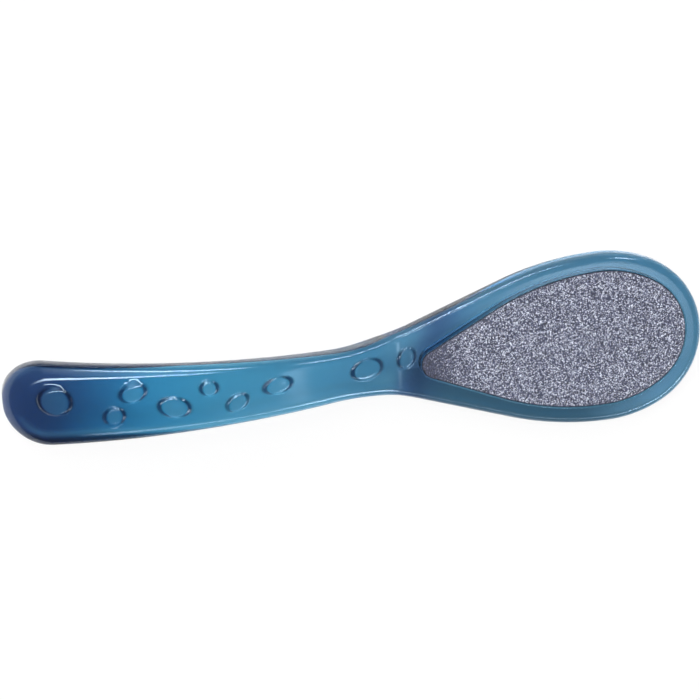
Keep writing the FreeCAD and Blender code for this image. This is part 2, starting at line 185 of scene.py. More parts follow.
# Each raised drop is moulded on the front: its place along and across, its length, its width and its
# turn in degrees.
RAISED_DROPS = np.array([
    (-170.0, 2.0, 11.4, 10.2, 0.0),
    (-152.0, -3.4, 7.6, 6.4, 25.0),
    (-145.5, 4.0, 9.6, 6.6, 20.0),
    (-133.0, -1.6, 11.0, 7.4, -12.0),
    (-121.5, 3.6, 6.4, 5.6, 0.0),
    (-113.0, -2.2, 8.6, 5.8, 30.0),
    (-99.5, 1.6, 10.4, 6.0, 10.0),
    (-69.5, 1.3, 11.6, 7.6, 4.0),
    (-55.8, 2.4, 8.0, 6.0, 60.0),
])
DROP_HEIGHT = 1.0


def from_drops(x, y):
    """Steps from the middle of every drop along X and Y, and the distance from it counted in the
    drop's own half length and half width, turned with it."""
    turn = np.radians(RAISED_DROPS[:, 4])
    step_x = x[..., None] - RAISED_DROPS[:, 0]
    step_y = y[..., None] - RAISED_DROPS[:, 1]
    run = (step_x * np.cos(turn) + step_y * np.sin(turn)) / (RAISED_DROPS[:, 2] / 2)
    rise = (step_y * np.cos(turn) - step_x * np.sin(turn)) / (RAISED_DROPS[:, 3] / 2)
    return step_x, step_y, np.hypot(run, rise)


def drop_height(x, y):
    """Height of the raised drops over the front face: one minus the fifth power of the distance from
    the middle of the drop, so that a flat dome falls off at the border."""
    distance = from_drops(x, y)[2]
    return DROP_HEIGHT * np.max(np.maximum(1.0 - distance ** 5, 0.0), axis=-1)


def ramp(value, start, end):
    """How far a value has gone from a start to an end, as a share held between 0 and 1."""
    return np.clip((value - start) / (end - start), 0.0, 1.0)


def bell(value, middle, width):
    """A bell curve: e to the minus square of the distance from the middle, counted in widths."""
    return np.exp(-((value - middle) / width) ** 2)


DROP_BORDER = 0.97
CRESCENT_INSET = 0.45
CRESCENT_THIN, CRESCENT_WIDENING = 0.25, 0.5
CRESCENT_FAINT, CRESCENT_GAIN = 0.05, 0.95
CRESCENT_STRENGTH = 1.4


def drop_shade_and_light(x, y):
    """Painted shade and painted light round a drop, as a share of the tint: up to 1 in a crescent of
    painted shade along each end, by a bell curve of the distance from the border that is wider at the
    ends, and down to -1 within the drop, a painted light where the domed top would gather light."""
    step_x, step_y, distance = from_drops(x, y)
    off = (distance - DROP_BORDER) * np.sqrt(RAISED_DROPS[:, 2] * RAISED_DROPS[:, 3]) / 2
    ends = np.abs(step_x) / np.maximum(np.hypot(step_x, step_y), 1e-6)
    crescent = bell(off, -CRESCENT_INSET, CRESCENT_THIN + CRESCENT_WIDENING * ends)
    crescent = crescent * (CRESCENT_FAINT + CRESCENT_GAIN * ends)
    ring = np.clip(CRESCENT_STRENGTH * np.max(crescent, axis=-1), 0.0, 1.0)
    inside = np.max(ramp(off, 0.0, -1.0), axis=-1)
    return ring - inside * (1.0 - ring)


# The lines and spots of painted shade and painted light in the tint: a start or end is a stretch along
# the file over which a line comes in or goes out, and a spot is its middle and width along the file, then
# across it.
EDGE_LINE, EDGE_LINE_RISE, EDGE_LINE_WIDTH = 0.56, 0.16, 0.1
EDGE_LINE_STRETCH = (-155.0, -125.0)
LOWER_EDGE_SHADE, LOWER_EDGE_END = 0.9, (-66.0, -78.0)
LOWER_RIM_SHADE, LOWER_RIM_START, LOWER_RIM_END = 0.45, (-62.0, -52.0), (28.0, 3.0)
BRIGHT_LINE_INSET, BRIGHT_LINE_WIDTH, BRIGHT_LINE_END = 0.16, 0.12, (-76.0, -88.0)
WALL_LIGHT_STRENGTH, WALL_BAND, WALL_END = 0.5, (0.7, 0.9), (-95.0, -115.0)
BRIM_BAND, BRIM_START = (0.5, 0.2), (-35.0, -20.0)
NECK_START, NECK_END = (-125.0, -100.0), (-55.0, -62.0)
NECK_SHADE, NECK_SHADE_SLOPE, NECK_LIGHT_SLOPE = 0.16, 1.5, 1.6
NECK_GLOW = ((-65.0, 6.0), (-4.5, 2.5))
NECK_SPOT_SHADE, NECK_SPOT = 0.4, ((-52.0, 4.5), (-8.5, 3.0))
SHOULDER_SHADE, SHOULDER_SPOT = 0.22, ((-42.0, 7.0), (12.0, 4.0))


def on_side(lean):
    """How far an edge faces one side, from its normal's lean that way: 0 until it leans by about a
    quarter, then rising to 1."""
    return np.clip(1.5 * lean - 0.4, 0.0, 1.0)[:, None]


def painted_shade_and_light(plan, rim, out, roll_share, brim_share, front):
    """Painted shade and painted light over the skin: the tint is deepened (up to 1) for painted shade or
    cleared (down to -1) for painted light. It stands for the dark and bright lines of light bent in a
    thick moulding, and for the table in shadow under the lower edge and rim. Each line or spot is a
    product of ramps and bell curves along the file, across it and round the rolled edge; the deepest and
    the clearest win."""
    x, y = plan[..., 0], plan[..., 1]
    lower, upper = on_side(-out[:, 1]), on_side(out[:, 1])
    line = EDGE_LINE + EDGE_LINE_RISE * ramp(x, *EDGE_LINE_STRETCH)
    past_line = ramp(roll_share, line, line + EDGE_LINE_WIDTH)
    # Painted shade along the lower roll of the handle and the lower rim of the head, standing for the
    # table in shadow under them.
    lower_edge_shade = LOWER_EDGE_SHADE * lower * past_line * ramp(x, *LOWER_EDGE_END)
    lower_rim_shade = LOWER_RIM_SHADE * lower * ramp(x, *LOWER_RIM_START) * ramp(x, *LOWER_RIM_END)
    # Painted light: a bright line inside the lower roll, on the upper walls of the handle and along the
    # brim of the seat.
    by_line = bell(roll_share, line - BRIGHT_LINE_INSET, BRIGHT_LINE_WIDTH)
    bright_line = front * lower * by_line * ramp(x, *BRIGHT_LINE_END)
    wall_light = WALL_LIGHT_STRENGTH * upper * ramp(roll_share, *WALL_BAND) * ramp(x, *WALL_END)
    brim_light = upper * ramp(brim_share, *BRIM_BAND) * ramp(x, *BRIM_START)
    # Painted shade on the upper half of the neck and painted light on its lower half; a spot of painted
    # light in the neck, and spots of painted shade at the lower neck corner and the upper shoulder.
    side = y / np.maximum(np.abs(rim[:, 1]), 2.0)[:, None]
    on_neck = front * ramp(x, *NECK_START) * ramp(x, *NECK_END)
    neck_shade = NECK_SHADE * on_neck * np.clip(NECK_SHADE_SLOPE * side, 0.0, 1.0)
    neck_light = on_neck * np.clip(-NECK_LIGHT_SLOPE * side, 0.0, 1.0)
    neck_glow = bell(x, *NECK_GLOW[0]) * bell(y, *NECK_GLOW[1])
    neck_shade_spot = NECK_SPOT_SHADE * front * bell(x, *NECK_SPOT[0]) * bell(y, *NECK_SPOT[1])
    shoulder_shade = SHOULDER_SHADE * front * bell(x, *SHOULDER_SPOT[0]) * bell(y, *SHOULDER_SPOT[1])
    edge_shade = np.maximum(lower_edge_shade, lower_rim_shade)
    painted_shade = np.maximum.reduce([edge_shade, neck_shade, neck_shade_spot, shoulder_shade])
    clear = np.maximum.reduce([bright_line, neck_glow, neck_light, wall_light, brim_light])
    # The drops add their crescents of painted shade and the painted light within them.
    border = front * drop_shade_and_light(x, y)
    in_drop = np.where(edge_shade > 0.0, edge_shade, border)
    return np.where(border < 0.0, in_drop, np.maximum(border, painted_shade) - clear * (1.0 - painted_shade))


def grid_faces(rows, columns, start, round_trip):
    """Four-sided faces of a grid of points, numbered from a start, closed on itself along its rows."""
    count = rows if round_trip else rows - 1
    row = np.arange(count)[:, None]
    column = np.arange(columns - 1)[None, :]
    here = row * columns + column
    there = ((row + 1) % rows) * columns + column
    return start + np.stack([here, here + 1, there + 1, there], axis=-1).reshape(-1, 4)


def smooth_piece(name, points, faces, weld, mark, values):
    """A mesh piece from points in metres and faces, welded along its seams, facing outward, with one
    value on each point that its material reads by the mark's name."""
    mesh = bpy.data.meshes.new(name)
    mesh.from_pydata(points.tolist(), [], faces.tolist())
    mesh.attributes.new(mark, "FLOAT", "POINT").data.foreach_set("value", values.astype(np.float32))
    work = bmesh.new()
    work.from_mesh(mesh)
    bmesh.ops.remove_doubles(work, verts=work.verts, dist=weld)
    bmesh.ops.recalc_face_normals(work, faces=work.faces)
    work.to_mesh(mesh)
    work.free()
    mesh.polygons.foreach_set("use_smooth", np.ones(len(mesh.polygons), dtype=bool))
    piece = bpy.data.objects.new(name, mesh)
    bpy.context.scene.collection.objects.link(piece)
    return piece


BUTT_ROWS, HANDLE_ROWS, HEAD_ROWS = 44, 385, 181
SEAM_PLACE = -51.0
NECK_TURN_PLACE = -90.0


def whole_loop(upper):
    """A half outline and its mirror image as one loop, up one side and down the other."""
    return np.concatenate([upper, (upper * np.array([1.0, -1.0]))[-2:0:-1]])


def seat_loop(spread):
    """The whole outline of the seat in the head, at even places along each half."""
    line, _, length = seat_edge(spread)
    half = along(length, line, np.linspace(0.0, length[-1], HEAD_ROWS))
    return turned(whole_loop(half))


def section_ends(brim):
    """Where each section across the paddle starts and ends in plan, row by row round the outline. It
    starts on the middle line of the handle, which eases over to the tip of the seat, or on the brim
    of the seat, and ends on the outline; the outline's normals come with it."""
    edge, normals, length = paddle_edge()
    seam = np.interp(SEAM_PLACE, edge[:, 0], length)
    butt_turn = BUTT_RADIUS * math.pi / 2
    places = np.concatenate([
        np.linspace(0.0, butt_turn, BUTT_ROWS, endpoint=False),
        np.linspace(butt_turn, seam, HANDLE_ROWS, endpoint=False),
        np.linspace(seam, length[-1], HEAD_ROWS),
    ])
    rim = along(length, edge, places)
    out = along(length, normals, places)
    out /= np.hypot(*out.T)[:, None]
    tip = brim[0]
    on_handle = places[:BUTT_ROWS + HANDLE_ROWS]
    middle_x = np.interp(on_handle, [0.0, butt_turn, seam], [BUTT_PLACE, BUTT_PLACE, tip[0]])
    ease = ramp(middle_x, NECK_TURN_PLACE, tip[0])
    middle = np.stack([middle_x, tip[1] * ease * ease * (3 - 2 * ease)], axis=1)
    inner = np.concatenate([middle, brim, brim[:1], middle[:0:-1]])
    return inner, whole_loop(rim), whole_loop(out)


# The edge is rolled over on both faces, broadly at the butt and tightly from the neck on.
ROLL_PLACES = (-155.0, -129.0, -113.0, -70.0)
ROLL_WIDTHS = (7.5, 5.5, 4.6, 2.7)
ROLL_HEIGHTS = (3.7, 3.7, 3.6, 2.7)
FRONT_COLUMNS, ROLL_COLUMNS, BACK_COLUMNS = 39, 12, 9
LIP_COLUMNS, FLOOR_COLUMNS = 6, 5
FLOOR_MIDDLE = (-40.0, 18.0)


def paddle_surface():
    """The moulding as one skin. Each row is a section that starts on the front, at the middle line of
    the handle or the brim of the seat, runs out over the face, rolls round the edge by a quarter of
    an ellipse on each face and comes back the same way on the back. The seats are a second skin from
    the brim over a rounded lip down to their floors, which close on a line."""
    brim, wall = seat_loop(SEAT_LIP), seat_loop(0.0)
    inner, rim, out = section_ends(brim)
    reach = np.interp(rim[:, 0], ROLL_PLACES, ROLL_WIDTHS)[:, None]
    fillet = np.interp(rim[:, 0], ROLL_PLACES, ROLL_HEIGHTS)[:, None]
    shelf = rim - reach * out
    roll = np.linspace(0.0, math.pi / 2, ROLL_COLUMNS + 1)[1:]
    across = np.linspace(0.0, 1.0, FRONT_COLUMNS)
    back_across = np.linspace(1.0, 0.0, BACK_COLUMNS)

    front_plan = inner[:, None] + (shelf - inner)[:, None] * across[None, :, None]
    over_plan = shelf[:, None] + (reach * np.sin(roll))[..., None] * out[:, None]
    under_plan = over_plan[:, ::-1]
    back_plan = inner[:, None] + (shelf - inner)[:, None] * back_across[None, :, None]
    fall = fillet * (1.0 - np.cos(roll))
    over_drop = drop_height(over_plan[..., 0], over_plan[..., 1]) * np.cos(roll)
    front_up = face_height(front_plan[..., 0], 1) + drop_height(front_plan[..., 0], front_plan[..., 1])
    over_up = face_height(over_plan[..., 0], 1) - fall + over_drop
    under_up = face_height(under_plan[..., 0], -1) + fall[:, ::-1]
    back_up = face_height(back_plan[..., 0], -1)
    plan = np.concatenate([front_plan, over_plan, under_plan, back_plan], axis=1)
    up = np.concatenate([front_up, over_up, under_up, back_up], axis=1)
    points = [at_rest(plan[..., 0], plan[..., 1], up).reshape(-1, 3)]
    faces = [grid_faces(plan.shape[0], plan.shape[1], 0, True)]

    behind = ROLL_COLUMNS + BACK_COLUMNS
    flat_front, flat_back = np.zeros(FRONT_COLUMNS), np.zeros(BACK_COLUMNS)
    roll_share = np.concatenate([flat_front, np.sin(roll), np.sin(roll[::-1]), flat_back])
    brim_share = np.concatenate([across, np.ones(ROLL_COLUMNS + behind)])
    front = np.concatenate([np.ones(FRONT_COLUMNS + ROLL_COLUMNS), np.zeros(behind)])
    # Painted shade and painted light for each point of the skin; the seats get none.
    depth = [painted_shade_and_light(plan, rim, out, roll_share, brim_share, front).reshape(-1)]

    core = np.stack([np.clip(wall[:, 0], *FLOOR_MIDDLE), 0.0 * wall[:, 0]], axis=1)
    curl = np.linspace(0.0, math.pi / 2, LIP_COLUMNS)
    inward = np.linspace(0.0, 1.0, FLOOR_COLUMNS)
    lip_plan = brim[:, None] + (wall - brim)[:, None] * np.sin(curl)[None, :, None]
    floor_plan = wall[:, None] + (core - wall)[:, None] * inward[None, :, None]
    seat_plan = np.concatenate([lip_plan, floor_plan], axis=1)
    sink = np.concatenate([SEAT_LIP * (1.0 - np.cos(curl)), np.full(FLOOR_COLUMNS, SEAT_DEPTH)])
    for face in (1, -1):
        seat_up = np.broadcast_to(face * (HALF_HEAD - sink), seat_plan.shape[:2])
        start = sum(len(block) for block in points)
        points.append(at_rest(seat_plan[..., 0], seat_plan[..., 1], seat_up).reshape(-1, 3))
        faces.append(grid_faces(seat_plan.shape[0], seat_plan.shape[1], start, True))
        depth.append(np.zeros(seat_plan.shape[0] * seat_plan.shape[1]))
    return np.concatenate(points), np.concatenate(faces), np.concatenate(depth)


def new_material(name):
    """A fresh node material, with its nodes, its links and its shader at hand."""
    material = bpy.data.materials.new(name)
    material.use_nodes = True
    nodes = material.node_tree.nodes
    return material, nodes, material.node_tree.links, nodes["Principled BSDF"]


def colour_ramp(nodes, stops):
    """A colour ramp through stops, each a place from 0 to 1 and a colour. The first and the last take
    the two stops that a ramp starts with."""
    node = nodes.new("ShaderNodeValToRGB")
    first, *between, last = stops
    for element, (place, colour) in zip(node.color_ramp.elements, (first, last)):
        element.position = place
        element.color = (*colour, 1.0)
    for place, colour in between:
        node.color_ramp.elements.new(place).color = (*colour, 1.0)
    return node


def maths(nodes, operation, second=None):
    """A node for one operation on numbers, with its second number where that is fixed."""
    node = nodes.new("ShaderNodeMath")
    node.operation = operation
    if second is not None:
        node.inputs[1].default_value = second
    return node


def mapped(nodes, start, end, low=0.0, high=1.0):
    """A node that carries the range from start to end over to the range from low to high."""
    node = nodes.new("ShaderNodeMapRange")
    node.inputs["From Min"].default_value = start
    node.inputs["From Max"].default_value = end
    node.inputs["To Min"].default_value = low
    node.inputs["To Max"].default_value = high
    return node


def noise(nodes, scale, detail):
    """A noise pattern of a scale in cells per metre."""
    node = nodes.new("ShaderNodeTexNoise")
    node.inputs["Scale"].default_value = scale
    node.inputs["Detail"].default_value = detail
    return node


def raised(nodes, strength, distance):
    """A bump node of a strength and of a depth in metres."""
    node = nodes.new("ShaderNodeBump")
    node.inputs["Strength"].default_value = strength
    node.inputs["Distance"].default_value = distance
    return node


PALE_DYE = (0.72, 0.86, 0.93)
# The surface tint along the file: pale over the head, with painted shade darker and purple at the butt
# and a purple band of painted shade at the neck.
DYE_AND_SHADE_ALONG = (
    (0.0, (0.36, 0.33, 0.58)),
    (0.07, (0.20, 0.19, 0.37)),
    (0.13, (0.16, 0.31, 0.54)),
    (0.19, (0.22, 0.69, 0.89)),
    (0.28, (0.40, 0.80, 0.89)),
    (0.4, (0.52, 0.80, 0.89)),
    (0.555, PALE_DYE),
    (0.585, (0.4, 0.36, 0.58)),
    (0.62, (0.58, 0.67, 0.86)),
    (0.66, PALE_DYE),
    (1.0, PALE_DYE),
)
# The colours that the painted shade multiplies the tint toward and that the painted light mixes it
# toward.
PAINTED_SHADE_COLOUR = (0.06, 0.06, 0.11, 1.0)
PAINTED_LIGHT_COLOUR = (0.90, 1.0, 1.0, 1.0)


def clear_blue_plastic():
    """Clear plastic that is tinted right through: the light loses red first, then green, along its way.
    Its surface tint carries painted shade from the butt to the head along a slanted, slightly swirled
    line, and the painted shade and light on the mesh clear it toward a painted light below 0 and darken
    it toward a painted shade above. Faint waves of the mould and a little handling wear soften the
    polish."""
    material, nodes, links, shader = new_material("clear_blue_plastic")
    shader.inputs["IOR"].default_value = 1.5
    shader.inputs["Transmission Weight"].default_value = 1.0
    shader.inputs["Specular Tint"].default_value = (0.66, 0.84, 1.0, 1.0)
    place = nodes.new("ShaderNodeTexCoord").outputs["Object"]

    axes = nodes.new("ShaderNodeSeparateXYZ")
    swirl = noise(nodes, scale=28.0, detail=2.0)
    drift = maths(nodes, "MULTIPLY_ADD", second=0.022)
    slant = maths(nodes, "MULTIPLY_ADD", second=-0.39)
    length = mapped(nodes, start=-0.104, end=0.126)
    dye_and_shade = colour_ramp(nodes, DYE_AND_SHADE_ALONG)
    dye_and_shade.color_ramp.interpolation = "B_SPLINE"
    links.new(place, axes.inputs["Vector"])
    links.new(place, swirl.inputs["Vector"])
    links.new(swirl.outputs["Fac"], drift.inputs[0])
    links.new(axes.outputs["X"], drift.inputs[2])
    links.new(axes.outputs["Y"], slant.inputs[0])
    links.new(drift.outputs[0], slant.inputs[2])
    links.new(slant.outputs[0], length.inputs["Value"])
    links.new(length.outputs["Result"], dye_and_shade.inputs["Fac"])

    # The painted shade and light of the mesh: below 0 it mixes the tint toward the painted light colour,
    # above 0 it multiplies it toward the painted shade colour.
    depth = nodes.new("ShaderNodeAttribute")
    depth.attribute_name = "painted_shade_light"
    below = maths(nodes, "MULTIPLY", second=-1.0)
    below.use_clamp = True
    clear = nodes.new("ShaderNodeMix")
    clear.data_type = "RGBA"
    clear.inputs[7].default_value = PAINTED_LIGHT_COLOUR
    painted_shade_mix = nodes.new("ShaderNodeMix")
    painted_shade_mix.data_type = "RGBA"
    painted_shade_mix.blend_type = "MULTIPLY"
    painted_shade_mix.inputs[7].default_value = PAINTED_SHADE_COLOUR
    links.new(depth.outputs["Fac"], below.inputs[0])
    links.new(below.outputs[0], clear.inputs[0])
    links.new(dye_and_shade.outputs["Color"], clear.inputs[6])
    links.new(depth.outputs["Fac"], painted_shade_mix.inputs[0])
    links.new(clear.outputs[2], painted_shade_mix.inputs[6])
    links.new(painted_shade_mix.outputs[2], shader.inputs["Base Color"])

    wear = noise(nodes, scale=180.0, detail=6.0)
    polish = mapped(nodes, start=0.35, end=0.75, low=0.02, high=0.07)
    waves = noise(nodes, scale=70.0, detail=1.0)
    bump = raised(nodes, strength=0.05, distance=0.001)
    tint = nodes.new("ShaderNodeVolumeAbsorption")
    tint.inputs["Color"].default_value = (0.02, 0.55, 0.75, 1.0)
    tint.inputs["Density"].default_value = 190.0
    links.new(place, wear.inputs["Vector"])
    links.new(wear.outputs["Fac"], polish.inputs["Value"])
    links.new(polish.outputs["Result"], shader.inputs["Roughness"])
    links.new(place, waves.inputs["Vector"])
    links.new(waves.outputs["Fac"], bump.inputs["Height"])
    links.new(bump.outputs["Normal"], shader.inputs["Normal"])
    links.new(tint.outputs["Volume"], nodes["Material Output"].inputs["Volume"])
    return material


paddle_points, paddle_faces, paddle_painted_shading = paddle_surface()
paddle = smooth_piece("moulded_paddle", paddle_points, paddle_faces,
                      weld=1e-6, mark="painted_shade_light", values=paddle_painted_shading)
paddle.data.materials.append(clear_blue_plastic())
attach(paddle, "root")
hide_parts("handle_paddle")

# Each pad is glued into its seat by a thin film of white glue, spread over the whole floor of the
# seat. Through the clear plastic the film is what shows of a pad from its other side.
GLUE_THICK = 0.15


def repaint(node, material):
    """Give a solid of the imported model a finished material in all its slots."""
    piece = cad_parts[node]
    piece.data.materials.clear()
    piece.data.materials.append(material)


def mottled(name, roughness, scale, detail, stops):
    """A matt material whose colour runs through stops by a fine noise in the piece."""
    material, nodes, links, shader = new_material(name)
    shader.inputs["Roughness"].default_value = roughness
    place = nodes.new("ShaderNodeTexCoord")
    mottle = noise(nodes, scale, detail)
    tone = colour_ramp(nodes, stops)
    links.new(place.outputs["Object"], mottle.inputs["Vector"])
    links.new(mottle.outputs["Fac"], tone.inputs["Fac"])
    links.new(tone.outputs["Color"], shader.inputs["Base Color"])
    return material


white_glue = mottled("glue_film", roughness=0.35, scale=400.0, detail=2.0, stops=(
    (0.35, (0.78, 0.81, 0.85)),
    (0.7, (0.90, 0.92, 0.94)),
))
repaint("front_adhesive_film", white_glue)
repaint("back_adhesive_film", white_glue)

# The backing is a stiff, grey-blue, resin-bound fibre sheet, die-cut to a drop and pressed onto the
# glue. Only its cut edge shows, in the thin gap between the grit and the rim.
BACKING_THICK = 0.55
fibre_sheet = mottled("cut_backing_sheet", roughness=0.8, scale=900.0, detail=4.0, stops=(
    (0.3, (0.16, 0.18, 0.22)),
    (0.75, (0.30, 0.33, 0.38)),
))
repaint("front_backing_sheet", fibre_sheet)
repaint("back_backing_sheet", fibre_sheet)

# The grit is crushed mineral bonded in resin over the whole sheet: coarse on the front, fine on the
# back. Every grain is a small tilted facet of its own height, with a dark gap round it.
PAD_GAP = 0.15
PAD_FLOOR = HALF_HEAD - SEAT_DEPTH + GLUE_THICK + BACKING_THICK
FIELD_LENGTH, FIELD_WIDTH = 110, 60
FIELD_START_X, FIELD_START_Y = -56.0, -30.0
FAR_AWAY = 9.0
SEED_ROOM = (0.08, 0.92)
FACET_LEAN = 0.45
GAP_WIDTH, GAP_HEIGHT, GAP_TONE = 0.35, 0.35, 0.8
LOWEST_FACET, HIGHEST_FACET = -0.3, 1.3
DARKEST_GRAIN, GRAIN_SPREAD = 0.8, 0.3


def grain_field(x, y, grain, seed):
    """Height and tone of crushed grains over a plane. The plane is divided into cells round one
    jittered seed each; a point takes the height, the tilt and the tone of its nearest seed, and falls
    off toward the border with the second nearest."""
    draw = np.random.default_rng(seed)
    columns, rows = int(FIELD_LENGTH / grain), int(FIELD_WIDTH / grain)
    jitter = draw.uniform(*SEED_ROOM, (columns, rows, 2))
    level = draw.uniform(0.0, 1.0, (columns, rows))
    lean = draw.normal(0.0, FACET_LEAN, (columns, rows, 2))
    tone = draw.uniform(0.0, 1.0, (columns, rows))
    cell_x, cell_y = (x - FIELD_START_X) / grain, (y - FIELD_START_Y) / grain
    base_x, base_y = np.floor(cell_x).astype(int), np.floor(cell_y).astype(int)
    nearest, second = np.full(x.shape, FAR_AWAY), np.full(x.shape, FAR_AWAY)
    height, shade = np.zeros(x.shape), np.zeros(x.shape)
    for step_x in (-1, 0, 1):
        for step_y in (-1, 0, 1):
            column = np.clip(base_x + step_x, 0, columns - 1)
            row = np.clip(base_y + step_y, 0, rows - 1)
            to_x = cell_x - (column + jitter[column, row, 0])
            to_y = cell_y - (row + jitter[column, row, 1])
            far = np.hypot(to_x, to_y)
            closer = far < nearest
            second = np.where(closer, nearest, np.minimum(second, far))
            nearest = np.where(closer, far, nearest)
            facet = level[column, row] + lean[column, row, 0] * to_x + lean[column, row, 1] * to_y
            height = np.where(closer, facet, height)
            shade = np.where(closer, tone[column, row], shade)
    border = ramp(second - nearest, 0.0, GAP_WIDTH)
    height = np.clip(height, LOWEST_FACET, HIGHEST_FACET) * (GAP_HEIGHT + (1.0 - GAP_HEIGHT) * border)
    shade = np.clip(DARKEST_GRAIN + GRAIN_SPREAD * shade, 0.0, 1.0)
    return height, shade * (GAP_TONE + (1.0 - GAP_TONE) * border)


PAD_LINES, LINE_POINTS = 420, 201
END_CROWDING = 0.25
EDGE_FALL_WIDTH, EDGE_THICKNESS = 0.5, 0.6
DARK_EDGE = (0.1, 0.45)
TIP_DARKNESS, TIP_STRETCH = 0.3, (-36.0, -48.0)


def grit_coat(name, face, grain, thick, relief, seed):
    """One coat of grit: a grid over the drop outline, straight lines across it at places that crowd
    toward both ends, with the grain field as its height; the rim of the grid drops to the sheet and a
    flat underside closes it. The tone darkens at the rim and toward the tip of the pad."""
    outline, _, _ = seat_edge(-PAD_GAP)
    crowded = 0.5 - 0.5 * np.cos(np.linspace(0.0, math.pi, PAD_LINES))
    even = np.linspace(0.0, 1.0, PAD_LINES)
    share = (1.0 - END_CROWDING) * even + END_CROWDING * crowded
    line_x = outline[0, 0] + (outline[-1, 0] - outline[0, 0]) * share
    half = np.interp(line_x, outline[:, 0], outline[:, 1])
    half[[0, -1]] = 0.0
    across = np.linspace(-1.0, 1.0, LINE_POINTS)
    x = line_x[:, None] + 0.0 * across[None, :]
    y = half[:, None] * across[None, :]
    height, tone = grain_field(x, y, grain, seed)
    slope = np.hypot(1.0, np.gradient(half, line_x))
    to_edge = (1.0 - np.abs(across))[None, :] * (half / slope)[:, None]
    edge_fall = ramp(to_edge, 0.0, EDGE_FALL_WIDTH) ** 0.5
    tone = tone * ramp(to_edge, *DARK_EDGE) * (1.0 - TIP_DARKNESS * ramp(x, *TIP_STRETCH))
    body = (thick - relief) * (EDGE_THICKNESS + (1.0 - EDGE_THICKNESS) * edge_fall)
    top = PAD_FLOOR + body + relief * height * edge_fall

    plan = turned(np.stack([x, y], axis=-1))
    plan = np.concatenate([plan[:, :1], plan, plan[:, -1:]], axis=1)
    low = np.full((PAD_LINES, 1), PAD_FLOOR)
    up = face * np.concatenate([low, top, low], axis=1)
    points = at_rest(plan[..., 0], plan[..., 1], up).reshape(-1, 3)
    columns = plan.shape[1]
    first = np.arange(PAD_LINES - 1) * columns
    last = first + columns - 1
    under = np.stack([first, first + columns, last + columns, last], axis=1)
    faces = np.concatenate([grid_faces(PAD_LINES, columns, 0, False), under])
    tones = np.concatenate([0.0 * low, tone, 0.0 * low], axis=1).reshape(-1)
    piece = smooth_piece(name, points, faces, weld=1e-7, mark="grain_tone", values=tones)
    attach(piece, "root")
    return piece


MIDDLE_TONE = 0.54


def mineral_grit(name, chip_scale, dark, middle, light):
    """Grey-lilac mineral grains in resin: every chip has its own tone, times the tone of its grain
    from the mesh, on a ramp from dark gaps to pale facets, with a fine speckle as bump."""
    material, nodes, links, shader = new_material(name)
    shader.inputs["Roughness"].default_value = 0.6
    place = nodes.new("ShaderNodeTexCoord").outputs["Object"]
    grain = nodes.new("ShaderNodeAttribute")
    grain.attribute_name = "grain_tone"
    chips = nodes.new("ShaderNodeTexVoronoi")
    chips.inputs["Scale"].default_value = chip_scale
    chip_tone = nodes.new("ShaderNodeSeparateColor")
    blend = maths(nodes, "MULTIPLY")
    tone = colour_ramp(nodes, ((0.0, dark), (MIDDLE_TONE, middle), (1.0, light)))
    speckle = noise(nodes, scale=2500.0, detail=3.0)
    bump = raised(nodes, strength=0.4, distance=0.0002)
    links.new(place, chips.inputs["Vector"])
    links.new(chips.outputs["Color"], chip_tone.inputs["Color"])
    links.new(chip_tone.outputs["Red"], blend.inputs[0])
    links.new(grain.outputs["Fac"], blend.inputs[1])
    links.new(blend.outputs[0], tone.inputs["Fac"])
    links.new(tone.outputs["Color"], shader.inputs["Base Color"])
    links.new(place, speckle.inputs["Vector"])
    links.new(speckle.outputs["Fac"], bump.inputs["Height"])
    links.new(bump.outputs["Normal"], shader.inputs["Normal"])
    return material


front_grit = grit_coat("coarse_grit", face=1, grain=0.4, thick=0.6, relief=0.25, seed=11)
front_grit.data.materials.append(mineral_grit(
    "coarse_mineral_grit", chip_scale=3700.0,
    dark=(0.003, 0.003, 0.006), middle=(0.050, 0.059, 0.122), light=(0.82, 0.87, 1.0)))
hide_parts("front_grit_coat")

back_grit = grit_coat("fine_grit", face=-1, grain=0.45, thick=0.4, relief=0.2, seed=23)
back_grit.data.materials.append(mineral_grit(
    "fine_mineral_grit", chip_scale=3600.0,
    dark=(0.03, 0.032, 0.05), middle=(0.25, 0.26, 0.33), light=(0.62, 0.65, 0.75)))
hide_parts("back_grit_coat")

# The file lies on a plain white table under soft studio light, photographed from nearly overhead
# with a long lens, the head to the right and the handle a little lower.
TABLE_REACH = 30.0
SEEN_WHITE = 0.92
WHITE_IN_PLASTIC = 0.30
ROOM_LIGHT = 0.22


